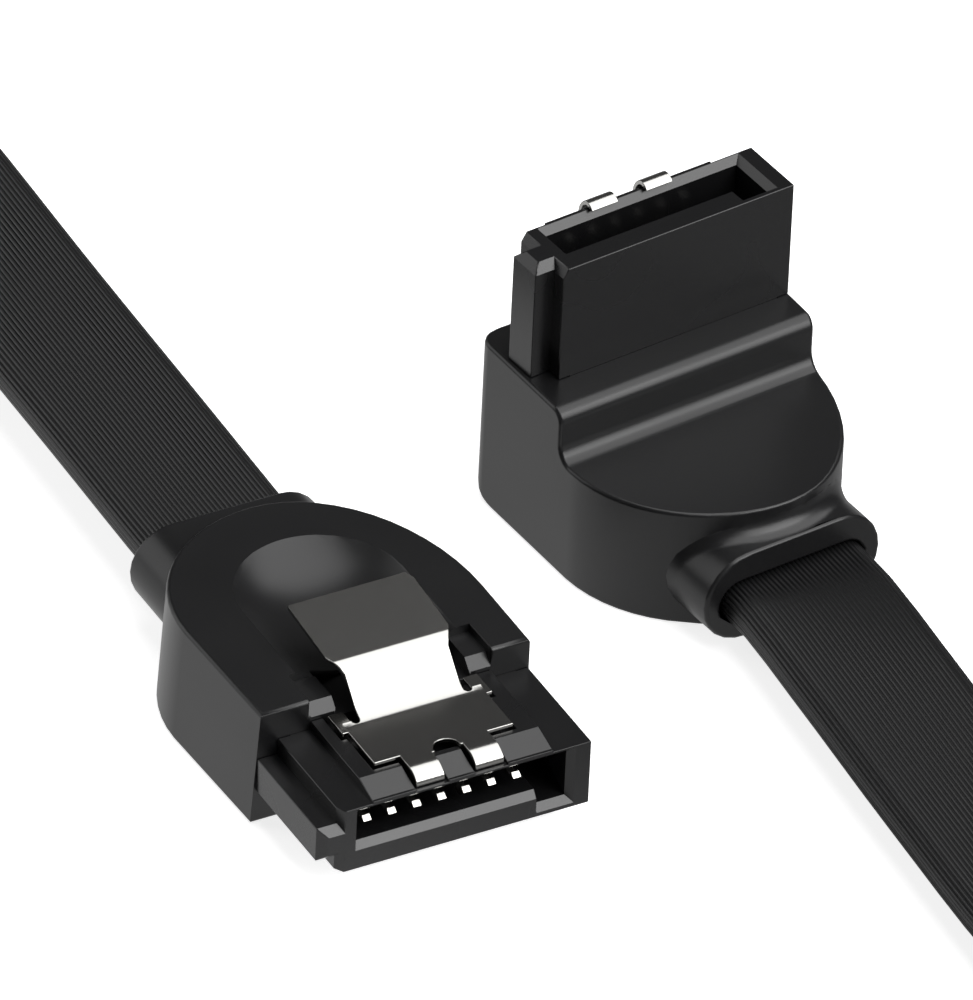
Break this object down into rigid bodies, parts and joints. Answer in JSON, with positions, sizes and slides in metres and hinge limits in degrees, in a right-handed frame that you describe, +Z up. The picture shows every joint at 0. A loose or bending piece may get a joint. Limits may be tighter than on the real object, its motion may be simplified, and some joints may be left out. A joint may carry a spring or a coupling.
{
  "type": "sata data cable",
  "caption": "Flat ribbed data cable with a straight latching plug at one end and a right-angle latching plug at the other, each with an L-shaped mouth and a thumb tab.",
  "frame": {"origin": "on the table, under the middle of the straight connector's overmould", "axes": "+X across the straight connector's width, -Y out of its mouth, +Y along its cable, +Z up, which is also the way the right-angle connector's mouth faces"},
  "size_m": [0.0714, 0.1763, 0.0153],
  "materials": {
    "black_insulator": "satin",
    "black_overmould": "matte",
    "natural_inner_mould": "satin",
    "plated_contact": "bright plated",
    "tinned_conductor": "tinned",
    "stainless_latch": "bright rolled",
    "black_jacket": "satin"
  },
  "bodies": {
    "cable": {"straight_housing": "black_insulator", "straight_overmould": "black_overmould", "straight_inner_mould": "natural_inner_mould", "straight_contact_1": "plated_contact", "straight_contact_2": "plated_contact", "straight_contact_3": "plated_contact", "straight_contact_4": "plated_contact", "straight_contact_5": "plated_contact", "straight_contact_6": "plated_contact", "straight_contact_7": "plated_contact", "straight_wire_1": "tinned_conductor", "straight_wire_2": "tinned_conductor", "straight_wire_3": "tinned_conductor", "straight_wire_4": "tinned_conductor", "straight_wire_5": "tinned_conductor", "straight_wire_6": "tinned_conductor", "straight_wire_7": "tinned_conductor", "angle_housing": "black_insulator", "angle_overmould": "black_overmould", "angle_inner_mould": "natural_inner_mould", "angle_contact_1": "plated_contact", "angle_contact_2": "plated_contact", "angle_contact_3": "plated_contact", "angle_contact_4": "plated_contact", "angle_contact_5": "plated_contact", "angle_contact_6": "plated_contact", "angle_contact_7": "plated_contact", "angle_wire_1": "tinned_conductor", "angle_wire_2": "tinned_conductor", "angle_wire_3": "tinned_conductor", "angle_wire_4": "tinned_conductor", "angle_wire_5": "tinned_conductor", "angle_wire_6": "tinned_conductor", "angle_wire_7": "tinned_conductor", "cable_jacket": "black_jacket"},
    "straight_latch": {"straight_latch": "stainless_latch"},
    "angle_latch": {"angle_latch": "stainless_latch"}
  },
  "joints": [
    {"name": "straight_latch_press", "type": "hinge", "parent": "cable", "child": "straight_latch", "pos_m": [-0.00026, -0.0119, 0.00508], "axis": [-1, 0, 0], "range_deg": [0, 5], "stiffness_Nm_per_rad": 0.02},
    {"name": "angle_latch_press", "type": "hinge", "parent": "cable", "child": "angle_latch", "pos_m": [0.02031, 0.01124, 0.0142], "axis": [-0.9932, -0.1167, 0], "range_deg": [0, 5], "stiffness_Nm_per_rad": 0.02}
  ]
}
